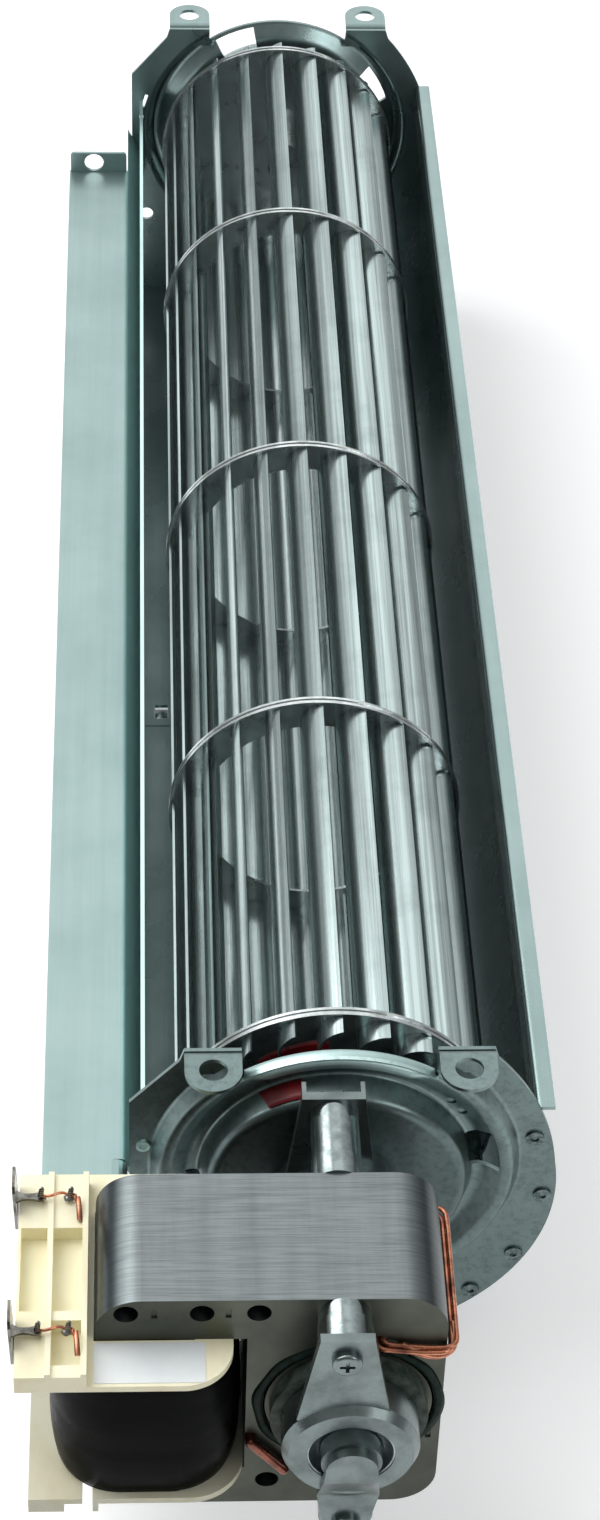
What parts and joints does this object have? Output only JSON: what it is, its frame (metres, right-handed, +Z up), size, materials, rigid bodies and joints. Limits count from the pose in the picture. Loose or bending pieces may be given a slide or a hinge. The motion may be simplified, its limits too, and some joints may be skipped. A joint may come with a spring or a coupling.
{
  "type": "cross flow fan",
  "caption": "Long cross flow fan: a bladed drum spins in a pressed steel scroll between end plates with mounting ears, driven by a shaded-pole motor.",
  "frame": {"origin": "in the middle of the four mounting holes, at the ears' top faces", "axes": "+Y along the fan axis away from the motor, +Z up towards the mounting ears, +X towards the scroll wall"},
  "size_m": [0.1006, 0.4466, 0.083],
  "materials": {
    "galvanised_sheet": "galvanised, satin",
    "blade_metal": "mill finish",
    "lamination": "stacked electrical steel, lacquered",
    "bracket_metal": "zinc plated, satin",
    "plated_steel": "zinc plated",
    "ground_steel": "ground",
    "sintered_bronze": "sintered, matt",
    "end_ring_metal": "cast, lacquered",
    "cream_nylon": "moulded, satin",
    "black_tape": "wrapped tape",
    "blank_label": "plain printed stock, bare",
    "copper": "enamelled copper",
    "tinned_brass": "tinned",
    "grey_rubber": "matt",
    "red_putty": "painted, matt"
  },
  "bodies": {
    "housing": {"bobbin": "cream_nylon", "coil_core": "lamination", "coil_winding": "black_tape", "end_plate_far_side": "galvanised_sheet", "end_plate_motor_side": "galvanised_sheet", "far_bearing": "sintered_bronze", "far_bearing_clip": "plated_steel", "far_bearing_grommet": "grey_rubber", "front_bearing": "sintered_bronze", "front_bracket": "bracket_metal", "front_spacers": "plated_steel", "outlet_flange": "galvanised_sheet", "rating_label": "blank_label", "rear_bearing": "sintered_bronze", "rear_bracket": "bracket_metal", "rear_spacers": "plated_steel", "scroll_sheet": "galvanised_sheet", "shading_ring_lower": "copper", "shading_ring_upper": "copper", "spade_terminals": "tinned_brass", "stator_stack": "lamination", "stud_nuts": "plated_steel", "terminal_block": "cream_nylon", "through_studs": "plated_steel", "tongue_sheet": "galvanised_sheet"},
    "drum": {"balance_mark": "red_putty", "drive_hub": "blade_metal", "end_disc_driven": "blade_metal", "end_disc_far": "blade_metal", "far_hub": "blade_metal", "hub_set_screw": "ground_steel", "impeller_blades": "blade_metal", "impeller_rings": "blade_metal", "motor_shaft": "ground_steel", "rotor_core": "lamination", "rotor_end_rings": "end_ring_metal", "stub_axle": "ground_steel", "thrust_collars": "plated_steel"}
  },
  "joints": [
    {"name": "drum_spin", "type": "hinge", "parent": "housing", "child": "drum", "pos_m": [0, 0, -0.0315], "axis": [0, 1, 0], "continuous": true}
  ]
}
